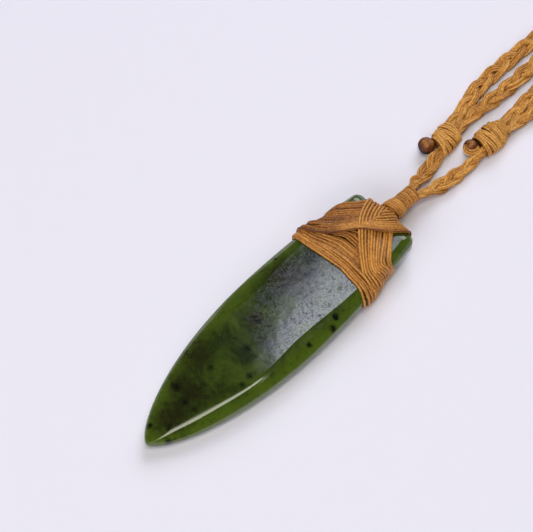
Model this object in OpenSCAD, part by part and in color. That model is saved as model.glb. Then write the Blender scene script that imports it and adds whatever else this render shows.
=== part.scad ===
// Jade adze pendant on a necklace of two three-strand plaits, lying on a table.
// Lengths are measured along Y from the tip of the stone: the stone, its lashing, the
// bound neck, two sliding knots and the loop that goes round the wearer's neck.

/* [Stone] */
// Length of the stone from its tip to its butt
stone_len = 78.5; // [77:0.5:80]
// Greatest width of the stone
stone_w = 24.1; // [23.5:0.1:25]
// Thickness of the stone at its flat panel
stone_t = 6; // [5.6:0.1:6.4]
// Distance from the tip to the widest place
belly_y = 43.2; // [41:0.2:46]
// Width of the bevel along each side
bevel_w = 3.4; // [3:0.1:4]
// Height of the rounded edge between the two bevels
edge_t = 2.4; // [2:0.1:2.8]
// Depth of the shallow notch in each side, under the lashing
notch_depth = 0.75; // [0.5:0.05:0.9]
// Angle at which the stone leans on its lashing
lean = 2.05; // [2:0.01:2.2]

/* [Lashing] */
// Thickness of one layer of the waxed lashing thread
thread_t = 0.56; // [0.5:0.02:0.6]
// Gap under a layer of thread
layer_gap = 0.12; // [0.1:0.01:0.14]

/* [Bound neck] */
// Radius of the bound neck
neck_r = 2.35; // [2.2:0.05:2.5]
// Radius of the loose collar at the neck's lower end
collar_r = 2.75; // [2.6:0.05:2.9]
// Where the bound neck ends
neck_top = 88.4; // [88:0.1:89]
// Height above the table at which the neck leaves the stone
neck_z = 5; // [4.8:0.1:5.2]
// Angle at which the neck comes down from there
neck_tilt = 7; // [5:0.5:8]

/* [Plaits] */
// Half the width over the strands' outer turns, to the strand's centre
turn_x = 1.4; // [1.35:0.01:1.42]
// Distance of a crossing from the plait's axis
cross_x = 1.05; // [1:0.01:1.1]
// Height of a strand's centre over the plait's axis at a crossing
cross_z = 1.0; // [1:0.01:1.05]
// Half the width of a strand
strand_x = 0.7; // [0.6:0.01:0.72]
// Half the thickness of a strand
strand_z = 0.46; // [0.4:0.01:0.48]
// Half the distance between the two plaits of the loop
pair_half = 3; // [2.9:0.05:3.1]

/* [Knots] */
// Half the width of the left knot
left_knot_x = 3.4; // [3.3:0.05:3.5]
// Half the width of the right knot
right_knot_x = 3.65; // [3.5:0.05:3.7]
// Half the height of a sliding knot
knot_z = 2.35; // [2.3:0.05:2.5]
// How tightly the plaits are squeezed inside a knot
knot_squeeze = 0.54; // [0.5:0.01:0.55]
// Radius of the dark ball at each plait's end
ball_r = 2; // [1.8:0.05:2]

/* [Hidden] */

stone_color = [0.16, 0.24, 0.08];
cord_color = [0.66, 0.45, 0.24];
ball_color = [0.38, 0.22, 0.08];

// The table frame has its origin under the middle of the whole necklace
mid_y = 152.5;

function clamp01(t) = min(1, max(0, t));
function ease(t) = let (c = clamp01(t)) c * c * (3 - 2 * c);
function mix(a, b, t) = a + (b - a) * t;
function reversed(list) = [for (i = [len(list) - 1:-1:0]) list[i]];

// A closed skin over rings of points, each ring going round the direction of travel.
// A looped skin joins its last ring to its first and needs no caps.
module skin(rings, looped = false) {
    n = len(rings);
    m = len(rings[0]);
    steps = looped ? n : n - 1;
    points = [for (ring = rings) for (p = ring) p];
    sides = [for (i = [0:steps - 1]) for (j = [0:m - 1])
        let (a = i * m, b = ((i + 1) % n) * m, k = (j + 1) % m)
        each [[a + j, b + j, b + k], [a + j, b + k, a + k]]];
    first_cap = [for (j = [0:m - 1]) j];
    last_cap = [for (j = [m - 1:-1:0]) (n - 1) * m + j];
    polyhedron(points, looped ? sides : concat(sides, [first_cap, last_cap]), convexity = 10);
}

// The stone

half_t = stone_t / 2;
half_edge = edge_t / 2;
half_w_max = stone_w / 2;
// The tip thins over this length, down to this share of the thickness
tip_run = 24;
tip_thin = 0.55;
// The sides draw in by this much per square millimetre past the belly
butt_draw = 0.00255;
// The end of the butt is bevelled over this length, down to this share of the thickness
butt_bevel = 2;
butt_thin = 0.5;
// How full the sides' curve is from the tip to the belly: 0.5 is an ellipse
side_power = 0.675;
// The bevel narrows where the stone is less wide than about this
bevel_fade = 4.6;
// The bevel is slightly crowned: its drop at half its width, as a share
mid_drop = 0.42;
// The edge is rounded over this width
edge_round = 0.25;

// The notch in each side: its middle and half its length
notch_y = 66.8;
notch_run = 5.2;

function half_w(y) = y < belly_y
    ? half_w_max * pow(max(0, 1 - pow(1 - y / belly_y, 2)), side_power)
    : half_w_max - butt_draw * pow(y - belly_y, 2)
        - notch_depth * ease(1 - abs(y - notch_y) / notch_run);
function tip_share(y) = 1 - tip_thin * pow(max(0, 1 - y / tip_run), 2);
function bevel_at(w) = bevel_w * (1 - exp(-w / bevel_fade));

// One section of the stone, round its axis: the panel, the bevel, the edge and back.
// share_z and less_w thin and narrow it, for the bevel of the butt.
function stone_ring(y, share_z = 1, less_w = 0) =
    let (w = half_w(y) - less_w,
         h = half_t * tip_share(y) * share_z,
         e = half_edge * tip_share(y) * share_z,
         b = bevel_at(w),
         quarter = [[w - b, h], [w - b / 2, mix(h, e, mid_drop)], [w - edge_round, e], [w, e * 0.4]],
         right = concat(quarter, [for (p = reversed(quarter)) [p[0], -p[1]]]))
    concat([for (p = right) [p[0], y, p[1]]], [for (p = reversed(right)) [-p[0], y, p[1]]]);

// Sections lie this far apart, closer in the notch, and closer and closer from here to
// the tip
section_gap = 3.6;
notch_gap = 1.3;
tip_sections = 9;
tip_from = 18;

module blade() {
    tip_rings = [for (i = [1:tip_sections - 1]) stone_ring(tip_from * pow(i / tip_sections, 2))];
    body_rings = [for (y = [tip_from:section_gap:notch_y - notch_run - 1]) stone_ring(y)];
    notch_rings = [for (y = [notch_y - notch_run:notch_gap:notch_y + notch_run]) stone_ring(y)];
    butt_rings = [stone_ring(notch_y + notch_run + 2),
                  stone_ring(stone_len - butt_bevel),
                  stone_ring(stone_len - 0.5, mix(1, butt_thin, 0.8), edge_round),
                  stone_ring(stone_len, butt_thin, edge_round * 3)];
    color(stone_color) on_table() skin(concat(tip_rings, body_rings, notch_rings, butt_rings));
}

// The stone leans from its belly, which touches the table, to the lashing under its butt
table_gap = 0.01;
lean_z = table_gap - min([for (y = [0:stone_len])
    y * sin(lean) - half_t * tip_share(y) * cos(lean)]);
module on_table() {
    translate([0, -mid_y, lean_z]) rotate([lean, 0, 0]) children();
}

// The lashing: three bands that wrap the butt of the stone in layers

// Height over the stone of the first layer's underside and of the second's
level_1 = layer_gap;
level_2 = layer_gap * 3 + thread_t;
// Height of the stone's edge under the threads that turn round it, and the turn's width
wall_z = half_edge * 0.9;
turn_w = 0.5;

// Height over the stone's mid-plane of a thread at the plan point x, y,
// in a layer that lies off above the surface
function crown(t) = t * (1 + (2 - 4 * mid_drop) * (1 - t));
function over_stone(x, y, off) =
    let (w = half_w(min(y, stone_len)),
         in_side = w + off - abs(x),
         in_butt = stone_len + off - y,
         side = mix(half_edge, half_t, crown(clamp01(in_side / bevel_at(w)))),
         butt = mix(half_t * butt_thin, half_t, clamp01(in_butt / butt_bevel)))
    max(wall_z, min(side, butt) + off * clamp01(min(in_side, in_butt) / turn_w));

// Shares of a band's width at which its threads are drawn
band_cols = [0, 0.25, 0.5, 0.75, 1];

// A section across a band: one surface one way and the other surface back
function band_ring(outer, inner, side) = side > 0
    ? concat(outer, reversed(inner))
    : concat(inner, reversed(outer));

// Lower band. Columns: place across the stone, lower edge, upper edge
lower_edges = [[-12, 59.2, 61.9], [-7.5, 59, 63.9], [-3.3, 59.5, 67.4], [0, 59.9, 66.8],
               [5.6, 59.7, 66.6], [9, 59.4, 66.9], [12, 58.4, 67.6]];
lower_edge = [for (row = lower_edges) [row[0], row[1]]];
upper_edge = [for (row = lower_edges) [row[0], row[2]]];
// Places across the stone where the band is drawn, as shares of its half width
lower_places = [-1, -0.87, -0.74, -0.68, -0.3, 0.1, 0.45, 0.68, 0.74, 0.87, 1];

function lower_point(share, col, off, face) =
    let (x0 = share * half_w_max,
         y = mix(lookup(x0, lower_edge), lookup(x0, upper_edge), col),
         x = share * (half_w(y) + off),
         z = abs(share) == 1 ? wall_z : over_stone(x, y, off))
    [x, y, face * z];

module lashing_lower_band() {
    stations = concat([for (s = lower_places) [s, 1]], [for (s = reversed(lower_places)) [s, -1]]);
    rings = [for (st = stations) band_ring(
        [for (c = band_cols) lower_point(st[0], c, level_1 + thread_t, st[1])],
        [for (c = band_cols) lower_point(st[0], c, level_1, st[1])], -1)];
    color(cord_color) on_table() skin(rings, true);
}

// A diagonal band goes from one side of the stone over the butt's end and back under.
// side is -1 or 1, edge_y and butt_x are the ends of its first and last thread.
// A place q along it is 0 at the side, 1 at the bevel's ridge, 2 at the butt's ridge
// and 3 at the butt's end. Where the side's ridge lies depends on the width there,
// so ridge_share works it out in a few turns.
function edge_x(side, edge_y, col, off) = side * (half_w(mix(edge_y[0], edge_y[1], col)) + off);
function ridge_share(y0, run, guess, turns) = turns == 0 ? guess
    : ridge_share(y0, run, (bevel_at(half_w(y0)) + half_w(y0) - half_w(mix(y0, stone_len, guess))) / run,
                  turns - 1);
function share_at(q, y0, run, off) =
    let (bevel = ridge_share(y0, run, 0.2, 4),
         butt = (stone_len - butt_bevel - y0) / (stone_len + off - y0))
    q <= 1 ? q * bevel : q <= 2 ? mix(bevel, butt, q - 1) : 1;

function diagonal_point(side, edge_y, butt_x, q, col, off, face) =
    let (y0 = mix(edge_y[0], edge_y[1], col),
         x0 = edge_x(side, edge_y, col, off),
         x1 = mix(butt_x[0], butt_x[1], col),
         s = share_at(q, y0, abs(x1 - x0), off),
         x = mix(x0, x1, s),
         y = mix(y0, stone_len + off, s),
         z = q == 0 ? wall_z : q == 3 ? half_t * butt_thin : over_stone(x, y, off))
    [x, y, face * z];

// drop_at gives the place where each edge of the band comes down from the second layer
drop_run = 0.26;
module diagonal_band(side, edge_y, butt_x, places, drop_at) {
    stations = concat([for (q = places) [q, 1]], [for (q = reversed(places)) [q, -1]]);
    rings = [for (st = stations)
        let (offs = [for (c = band_cols)
                 mix(level_2, level_1, ease((st[0] - mix(drop_at[0], drop_at[1], c)) / drop_run))])
        band_ring(
            [for (i = [0:len(offs) - 1])
                diagonal_point(side, edge_y, butt_x, st[0], band_cols[i], offs[i] + thread_t, st[1])],
            [for (i = [0:len(offs) - 1])
                diagonal_point(side, edge_y, butt_x, st[0], band_cols[i], offs[i], st[1])],
            side)];
    color(cord_color) on_table() skin(rings, true);
}

// The top band lies on the lower band at the side and then comes down to the stone
module lashing_top_band() {
    diagonal_band(1, [60.5, 69], [-5.7, 2.3], [0, 0.5, 1, 1.25, 1.5, 1.76, 2, 3], [1.5, 0.5]);
}

// The cross band lies on the other two all the way, so its drop is past its end
module lashing_cross_band() {
    diagonal_band(-1, [61.2, 70], [7, -5.2], [0, 0.5, 1, 1.33, 1.66, 2, 3], [4, 4]);
}

// The bound neck: a loose collar and then tight turns of thread, round all the strands.
// It is hollow at the top for the plaits.

neck_x = -0.15;
neck_base = stone_len + level_2 + thread_t + 0.5;
neck_len = (neck_top - neck_base) / cos(neck_tilt);
neck_end_z = neck_z - neck_len * sin(neck_tilt);
collar_len = 2.7;
turn_count = 6;
turn_groove = 0.14;
socket_r = 2;
socket_depth = 2.6;

module neck_whipping() {
    turn = (neck_len - collar_len) / turn_count;
    collar = [[collar_r - 0.6, 0], [collar_r, 0.7], [collar_r, 1.7], [neck_r, collar_len]];
    turns = [for (i = [0:turn_count - 1])
        each [[neck_r, collar_len + (i + 1 / 3) * turn], [neck_r, collar_len + (i + 2 / 3) * turn],
              [neck_r - turn_groove, collar_len + (i + 1) * turn]]];
    socket = [[socket_r, neck_len], [socket_r, neck_len - socket_depth], [0, neck_len - socket_depth]];
    color(cord_color) translate([neck_x, neck_base - mid_y, neck_z]) rotate([-90 - neck_tilt, 0, 0])
        rotate_extrude($fn = 48) polygon(concat([[0, 0]], collar, turns, socket));
}

// The sliding knots: two tight barrels of wraps. Each lies round both plaits.
// Columns: place across, lower end, upper end, number of wraps, lean across to the upper
// end, half its width
left_knot_at = [-5.15, 103, 109.4, 4, -0.8, left_knot_x];
right_knot_at = [2.1, 110.4, 118.5, 5, 0.2, right_knot_x];
// Half the width and height of the hole through a knot
bore_x = 2.75;
bore_z = 1.5;
// Radius at a knot's two ends and in the grooves between its wraps, as shares
end_share = 0.8;
groove_share = 0.93;

module knot(at) {
    wrap = (at[2] - at[1]) / at[3];
    outside = [for (i = [0:at[3] - 1])
        each [[at[1] + i * wrap, i == 0 ? end_share : groove_share], [at[1] + (i + 0.5) * wrap, 1]]];
    profile = concat(outside, [[at[2], end_share]]);
    bore = [[at[2], 1], [at[1], 0]];
    rings = [for (a = [330:-30:0]) concat(
        [for (p = profile)
            [at[0] + at[4] * (p[0] - at[1]) / (at[2] - at[1]) + at[5] * p[1] * sin(a),
             p[0] - mid_y, knot_z * (1 + p[1] * cos(a))]],
        [for (p = bore)
            [at[0] + at[4] * p[1] + bore_x * sin(a), p[0] - mid_y, knot_z + bore_z * cos(a)]])];
    color(cord_color) skin(rings, true);
}

module left_knot() { knot(left_knot_at); }
module right_knot() { knot(right_knot_at); }

// A dark ball closes the end of each plait, under the knot that holds it
module end_ball(at) {
    color(ball_color) translate([at[0], at[1] - mid_y, ball_r]) sphere(r = ball_r, $fn = 40);
}
module left_end_ball() { end_ball([-7.5, 100.9]); }
module right_end_ball() { end_ball([0, 108.35]); }

// The route of the two plaits side by side, a point every 17.5 mm or so, from the left
// knot round the loop to the right knot. Columns: across, along.
round_right = [[16.8, 186.2], [25.4, 201.4], [34.4, 216.4], [42, 232.2], [46.6, 249.1],
               [45.6, 266.4], [38.2, 282], [24.8, 293.1], [8.75, 299]];
from_left_knot = [[-5, 101.8], [-7.1, 118.5], [-7.4, 135.8], [-8.2, 153.3], [-11.2, 170.4]];
to_right_knot = [[9.4, 170.1], [4.6, 153.2], [2.6, 135.8], [2.3, 118.5], [1.95, 101.8]];
round_left = [for (p = round_right) [-p[0], p[1]]];
pair_route = concat(from_left_knot, round_left, reversed(round_right), to_right_knot);
// Each plait starts inside the bound neck
left_route = concat([[-2.25, 86.6]], pair_route, [[0.2, 86.6]]);
right_route = concat([[-0.65, 86.6]], reversed(pair_route), [[-1.5, 86.6]]);
rings_per_turn = 6;
// A plait's last ring lies in its knot, where its ball is
left_rings = (len(pair_route) - 1) * rings_per_turn + 2;
right_rings = len(pair_route) * rings_per_turn - 1;

function spline(a, b, c, d, t) = 0.5 * (2 * b + (c - a) * t + (2 * a - 5 * b + 4 * c - d) * t * t
    + (3 * b - a - 3 * c + d) * t * t * t);
function route_point(route, u) =
    let (i = min(floor(u), len(route) - 2), t = u - i,
         before = i == 0 ? 2 * route[0] - route[1] : route[i - 1],
         after = i + 2 < len(route) ? route[i + 2] : 2 * route[i + 1] - route[i])
    spline(before, route[i], route[i + 1], after, t);

// The knot on a point's own side, and its distance along Y outside that knot
function knot_by(p) = p[0] < 0 ? left_knot_at : right_knot_at;
function outside_knot(p) = max(0, knot_by(p)[1] - p[1], p[1] - knot_by(p)[2]);

// How wide the plait is at a point of its route, as a share: squeezed in the neck and
// the knots. It widens over these lengths above the neck, and below and above each knot.
neck_squeeze = 0.34;
neck_run = 7;
left_runs = [4, 14];
right_runs = [14, 17];
function runs_by(p) = p[0] < 0 ? left_runs : right_runs;
function squeeze(p) =
    let (run = runs_by(p)[p[1] > knot_by(p)[2] ? 1 : 0])
    min(mix(neck_squeeze, 1, ease((p[1] - neck_top + 0.4) / neck_run)),
        mix(knot_squeeze, 1, ease(outside_knot(p) / run)));

// Half the distance between the two plaits: closed in the knots, open round the loop
knot_half = 1.2;
part_run = 5;
function half_gap(p) =
    mix(knot_half, pair_half, ease((p[1] - knot_by(p)[2]) / (part_run + runs_by(p)[1])));

// Height of the plait's axis: on the table, but through the middle of neck and knots
plait_z = cross_z + strand_z + 0.03;
neck_fall = 8;
knot_fall = 6;
function axis_z(p) =
    max(mix(neck_end_z, plait_z, ease((p[1] - neck_top) / neck_fall)),
        mix(knot_z, plait_z, ease(outside_knot(p) / knot_fall)));

// One turn of a strand across the plait, in six places: across, up
turn_places = [[cross_x, cross_z], [turn_x, 0], [cross_x, -cross_z],
               [-cross_x, cross_z], [-turn_x, 0], [-cross_x, -cross_z]];

// A strand is a six-sided bar that follows its place in the plait along the route,
// whose direction is taken over this much of a turn on either side
step = 0.02;
module strand(route, ring_count, phase) {
    rings = [for (i = [0:ring_count])
        let (u = i / rings_per_turn,
             p = route_point(route, u),
             ahead = route_point(route, u + step),
             back = route_point(route, max(0, u - step)),
             along = (ahead - back) / norm(ahead - back),
             right = [along[1], -along[0]],
             k = squeeze(p),
             place = turn_places[(i + phase) % rings_per_turn] * k,
             centre = p + right * (half_gap(p) + place[0]),
             z = axis_z(p) + place[1])
        [for (a = [0:60:300])
            let (x = centre + right * strand_x * k * cos(a))
            [x[0], x[1] - mid_y, z - strand_z * k * sin(a)]]];
    color(cord_color) skin(rings);
}

module left_plait_strand_1() { strand(left_route, left_rings, 0); }
module left_plait_strand_2() { strand(left_route, left_rings, 2); }
module left_plait_strand_3() { strand(left_route, left_rings, 4); }
module right_plait_strand_1() { strand(right_route, right_rings, 0); }
module right_plait_strand_2() { strand(right_route, right_rings, 2); }
module right_plait_strand_3() { strand(right_route, right_rings, 4); }

blade();
lashing_lower_band();
lashing_top_band();
lashing_cross_band();
neck_whipping();
left_plait_strand_1();
left_plait_strand_2();
left_plait_strand_3();
right_plait_strand_1();
right_plait_strand_2();
right_plait_strand_3();
left_knot();
right_knot();
left_end_ball();
right_end_ball();
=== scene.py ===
# A jade adze pendant on its plaited necklace, lying on a pale table.
# Shapes are worked out in millimetres and put into their meshes in metres.
# x goes across, y is measured along from the tip of the stone, and z up from the table.
import bpy
import math
import numpy as np
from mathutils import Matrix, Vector


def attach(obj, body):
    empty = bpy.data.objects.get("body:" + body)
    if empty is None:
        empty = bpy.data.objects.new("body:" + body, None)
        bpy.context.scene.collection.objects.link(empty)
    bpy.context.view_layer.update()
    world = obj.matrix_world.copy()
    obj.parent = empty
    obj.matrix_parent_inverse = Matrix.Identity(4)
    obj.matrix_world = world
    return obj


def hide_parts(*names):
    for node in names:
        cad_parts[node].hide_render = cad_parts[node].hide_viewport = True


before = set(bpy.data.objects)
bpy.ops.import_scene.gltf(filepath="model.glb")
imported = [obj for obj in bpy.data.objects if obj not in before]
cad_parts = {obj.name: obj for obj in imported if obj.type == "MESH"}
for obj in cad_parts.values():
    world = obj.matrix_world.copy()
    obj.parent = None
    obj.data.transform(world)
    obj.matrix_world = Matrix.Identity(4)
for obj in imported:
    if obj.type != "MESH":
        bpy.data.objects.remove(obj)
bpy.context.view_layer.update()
print("frame loaded:", len(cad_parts), "nodes")

place = dict(midY=152.5, unit=0.001)  # the origin is under the middle of the necklace
dice = np.random.default_rng(11)  # one seed, so each run draws the same threads


# Small formulas

def mix(a, b, t):  # a plus the share t of the way to b
    return a + (b - a) * t


def ease(t):  # 3 t squared minus 2 t cubed, held to 0..1
    t = np.clip(t, 0, 1)
    return t * t * (3 - 2 * t)


def step(x, start, run):  # 0 up to the start, eased to 1 over the run
    return ease((x - start) / run)


def softMin(a, b, r):  # the lower of a and b, blended where within r
    t = np.clip(0.5 + (b - a) / (2 * r), 0, 1)
    return mix(b, a, t) - r * t * (1 - t)


def through(points, t):  # Catmull-Rom curve, t counts the points
    p = np.asarray(points, float)
    p = np.vstack([2 * p[0] - p[1], p, 2 * p[-1] - p[-2]])
    i = np.clip(np.floor(t).astype(int), 0, len(p) - 4)
    t = (np.asarray(t) - i)[:, None]
    a, b, c, d = p[i], p[i + 1], p[i + 2], p[i + 3]
    return 0.5 * (2 * b + (c - a) * t + (2 * a - 5 * b + 4 * c - d) * t ** 2
                  + (3 * b - a - 3 * c + d) * t ** 3)


def curve(points, count):  # the same curve as count points
    return through(points, np.linspace(0, len(points) - 1, count))


def angles(count):  # a full turn in even steps
    return np.linspace(0, 2 * np.pi, count, endpoint=False)


def lengthAlong(path):  # running sum of the steps' lengths
    return np.concatenate([[0], np.cumsum(np.linalg.norm(np.diff(path, axis=0), axis=1))])


def evenly(path, gap, loop=False):  # the same path with points a gap apart
    if loop:
        path = np.vstack([path, path[:1]])
    along = lengthAlong(path)
    count = max(4, int(round(along[-1] / gap)))
    at = np.linspace(0, along[-1], count + 1)
    if loop:
        at = at[:-1]
    return np.stack([np.interp(at, along, path[:, k]) for k in range(path.shape[1])], 1)


def relax(path, times, loop=False):  # each point moves half way to its neighbours' middle
    for _ in range(times):
        middle = (np.roll(path, 1, 0) + np.roll(path, -1, 0)) / 2
        moved = (path + middle) / 2
        if not loop:
            moved[0] = path[0]
            moved[-1] = path[-1]
        path = moved
    return path


def unit(v):
    return v / np.linalg.norm(v, axis=-1, keepdims=True)


def wander(count, reach, gap):  # smooth noise, eased between values a gap apart
    knots = dice.normal(0, 1, int(count / gap) + 3)
    t = np.arange(count) / gap
    i = t.astype(int)
    return reach * mix(knots[i], knots[i + 1], ease(t - i))


# Surfaces

# A tube round a path: each point plus r (side cos a + up sin a). The side is the guide
# direction made square to the path, and up is the path's direction crossed with it.
def tube(path, r, guide, sides=8, loop=False, tone=0.0, start=0.0):
    if loop:
        run = np.roll(path, -1, 0) - np.roll(path, 1, 0)
    else:
        run = np.gradient(path, axis=0)
    run = unit(run)
    guide = np.broadcast_to(np.asarray(guide, float), path.shape)
    side = unit(guide - run * (guide * run).sum(1, keepdims=True))
    up = np.cross(run, side)
    a = angles(sides) + start
    r = np.broadcast_to(np.asarray(r, float), len(path))[:, None, None]
    ring = side[:, None] * np.cos(a)[None, :, None] + up[:, None] * np.sin(a)[None, :, None]
    tone = np.broadcast_to(np.asarray(tone, float), len(path))
    return dict(points=path[:, None] + r * ring, along=lengthAlong(path), loop=loop, tone=tone)


# Quads of a grid with n rows of m points: the last row joins the first one where the rows
# are a loop, and the last column the first one where the columns are
def gridQuads(n, m, loopRows=False, loopCols=False):
    i = np.arange(n if loopRows else n - 1)[:, None]
    j = np.arange(m if loopCols else m - 1)
    row = i * m
    nextRow = (i + 1) % n * m
    nextCol = (j + 1) % m
    return np.stack([row + j, row + nextCol, nextRow + nextCol, nextRow + j], -1).reshape(-1, 4)


# One mesh from many tubes. Its map holds the share round a thread and the length along
# it in millimetres, and its tone tells one thread from the next.
def threadMesh(name, tubes, material, node):
    points, corners, starts, maps, tones = [], [], [], [], []
    base = 0
    filled = 0
    for t in tubes:
        n, m = t["points"].shape[:2]
        quads = gridQuads(n, m, t["loop"], True)
        gap = t["along"][1] - t["along"][0]
        low, left = np.broadcast_arrays(t["along"][:len(quads) // m, None], np.arange(m) / m)
        uv = np.stack([np.stack([left + across / m, low + on * gap], -1)
                       for across, on in ((0, 0), (1, 0), (1, 1), (0, 1))], 2)
        corners.append((quads + base).ravel())
        starts.append(filled + 4 * np.arange(len(quads)))
        maps.append(uv.reshape(-1, 2))
        filled += 4 * len(quads)
        if not t["loop"]:
            ends = np.concatenate([np.arange(m)[::-1], (n - 1) * m + np.arange(m)]) + base
            corners.append(ends)
            starts.append(filled + np.array([0, m]))
            maps.append(np.zeros((2 * m, 2)))
            filled += 2 * m
        points.append(t["points"].reshape(-1, 3))
        tones.append(np.repeat(t["tone"], m))
        base += n * m
    meshFrom(name, np.vstack(points), np.concatenate(corners), np.concatenate(starts), material, node,
             np.vstack(maps), tone=np.concatenate(tones))


def newObject(name, data):
    made = bpy.data.objects.new(name, data)
    bpy.context.scene.collection.objects.link(made)
    return made


# Puts arrays into a mesh object, in metres, and lets it ride on the necklace's one body.
# Each of the values becomes an attribute of the points.
def meshFrom(name, points, corners, starts, material, node, uv=None, **values):
    where = np.asarray(points, float) - [0, place["midY"], 0]
    mesh = bpy.data.meshes.new(name)
    mesh.vertices.add(len(where))
    mesh.vertices.foreach_set("co", (where * place["unit"]).ravel())
    mesh.loops.add(len(corners))
    mesh.loops.foreach_set("vertex_index", np.asarray(corners, np.int32))
    mesh.polygons.add(len(starts))
    mesh.polygons.foreach_set("loop_start", np.asarray(starts, np.int32))
    mesh.update(calc_edges=True)
    if uv is not None:
        mesh.uv_layers.new(name="thread").uv.foreach_set("vector", uv.ravel())
    for key, value in values.items():
        mesh.attributes.new(key, "FLOAT", "POINT").data.foreach_set("value", value)
    mesh.validate()
    mesh.shade_smooth()
    mesh.materials.append(material.made)
    piece = newObject(name, mesh)
    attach(piece, "root")
    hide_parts(node)


# Shader sums

def plug(tree, target, value):  # a socket is linked, and a plain value is set
    if isinstance(value, Sock):
        tree.links.new(value.socket, target)
    elif value is not None:
        target.default_value = value


class Sock:  # a shader socket that takes part in Python sums
    def __init__(self, tree, socket):
        self.tree = tree
        self.socket = socket

    def sum(self, operation, a, b=None):
        node = self.tree.nodes.new("ShaderNodeMath")
        node.operation = operation
        plug(self.tree, node.inputs[0], a)
        plug(self.tree, node.inputs[1], b)
        return Sock(self.tree, node.outputs[0])

    def __add__(self, other):
        return self.sum("ADD", self, other)

    def __sub__(self, other):
        return self.sum("SUBTRACT", self, other)

    def __rsub__(self, other):
        return self.sum("SUBTRACT", other, self)

    def __mul__(self, other):
        return self.sum("MULTIPLY", self, other)

    def __truediv__(self, other):
        return self.sum("DIVIDE", self, other)

    __radd__ = __add__
    __rmul__ = __mul__

    def sine(self):
        return self.sum("SINE", self)

    def held(self):  # held to 0..1
        node = self.tree.nodes.new("ShaderNodeClamp")
        self.tree.links.new(self.socket, node.inputs[0])
        return Sock(self.tree, node.outputs[0])

    def mask(self, start, steep, most):  # steep (value - start) held to 0..1, times most
        return ((self - start) * steep).held() * most

    def other(self, k):  # another output of the same node
        return Sock(self.tree, self.socket.node.outputs[k])


class Finish:  # a material and the one way to add a node to it
    def __init__(self, name, slot, **fixed):
        self.made = bpy.data.materials.new(name)
        self.made.use_nodes = True
        self.tree = self.made.node_tree
        self.slot = slot
        self.shader = next(n for n in self.tree.nodes if n.type == "BSDF_PRINCIPLED")
        for socket, value in fixed.items():
            self.shader.inputs[socket.replace("_", " ")].default_value = value

    def node(self, kind, settings=None, out=0, **sockets):
        made = self.tree.nodes.new("ShaderNode" + kind)
        for key, value in (settings or {}).items():
            if key == "stops":
                while len(made.color_ramp.elements) < len(value):
                    made.color_ramp.elements.new(0.5)
                for element, (at, colour) in zip(made.color_ramp.elements, value):
                    element.position = at
                    element.color = (*colour, 1)
            else:
                setattr(made, key, value)
        for key, value in sockets.items():
            live = [s for s in made.inputs if s.enabled]
            names = [s.name.replace(" ", "_") for s in live]
            names = [n + str(names[:i].count(n) + 1) if n in names[:i] else n for i, n in enumerate(names)]
            plug(self.tree, live[names.index(key)], value)
        outs = [s for s in made.outputs if s.enabled]
        return Sock(self.tree, outs[out])

    def feed(self, socket, value):
        self.tree.links.new(value.socket, self.shader.inputs[socket])

    def blend(self, factor, colour, paint):  # the share factor of the way from colour to paint
        return self.node("Mix", {"data_type": "RGBA"}, Factor=factor, A=colour, B=(*paint, 1))

    def noises(self, where, sizes):  # a noise for each name
        return {key: self.node("TexNoise", Vector=where, Scale=scale, Detail=detail, Roughness=rough,
                               Distortion=twist)
                for key, (scale, detail, rough, twist) in sizes.items()}

    def ramp(self, value, stops):
        return self.node("ValToRGB", {"stops": stops}, Fac=value)

    def bump(self, strength, distance, height):
        self.feed("Normal", self.node("Bump", Strength=strength, Distance=distance, Height=height))


# Jade: cloudy dark green, with a painted glow of light through the stone where the edge is thin, and small
# black inclusions.
# A noise has its scale to the metre, its detail, roughness and distortion, and a mask has
# its start, its steepness and its most. Columns of the marks: across, along, radius.

jadeLook = dict(
    deep=(0.006, 0.010, 0.004), body=(0.020, 0.033, 0.006), bright=(0.050, 0.080, 0.010),
    # The rim colour is a painted glow of light through the thin stone, and the two shares after the stops set
    # how much of it shows.
    brown=(0.016, 0.015, 0.0045), black=(0.002, 0.0025, 0.002), rim=(0.072, 0.120, 0.009),
    stops=[(0.34, "deep"), (0.5, "body"), (0.7, "bright")], rimLeast=0.55, rimCloud=0.9,
    ior=1.6, polish=0.06, wornRough=0.09, bump=(0.5, 0.00002), wornBump=0.3, waveBump=2,
    noises=dict(cloud=(120, 5, 0.62, 0.8), patch=(48, 3, 0.5, 0.5), speck=(900, 3, 0.65, 0),
                grain=(2400, 2, 0.6, 0), wave=(150, 3, 0.5, 0)),
    masks=dict(patch=(0.48, 3.5, 0.6), speck=(0.55, 6, 0.6), grain=(0.46, 6, 1),
               dust=(0.5, 5, 1), worn=(-0.128, 50, 1), clouds=(0, 0.22, 0.85),
               flecks=(0, 0.75, 0.95), spots=(0, 1.6, 0.95)),
    frays=dict(clouds=0.008, flecks=0.0016, spots=0.0012), frayScale=800, frayDetail=3,
    clouds=[[-6.6, 22, 5.5], [-4.6, 14.5, 4.5], [0.6, 7.5, 5.6], [-3.6, 38, 4.5], [1.5, 28.5, 2.6],
            [-6, 50, 5.5], [4.2, 21, 3.0], [0.5, 14.5, 4.2]],
    flecks=[[-2.3, 54.2, 1.6], [-5.8, 50.5, 1.5], [-2.4, 37.4, 1.7], [3.2, 41.0, 1.5], [0.8, 31.0, 1.4],
            [6.0, 26.6, 1.2], [6.4, 24.0, 1.3], [-1.6, 22.0, 1.1], [-4.2, 13.6, 1.5], [-0.2, 12.2, 1.5],
            [2.8, 12.6, 1.1], [1.4, 6.0, 1.3], [-7.2, 28.4, 0.7], [-8.4, 24.8, 0.9]],
    spots=[[9.8, 50.6, 1.15], [11.1, 48.4, 1.05], [10.2, 41.6, 0.9], [-10.5, 52.0, 0.85], [-2.0, 3.2, 0.95],
           [3.6, 3.6, 0.95]])


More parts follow.
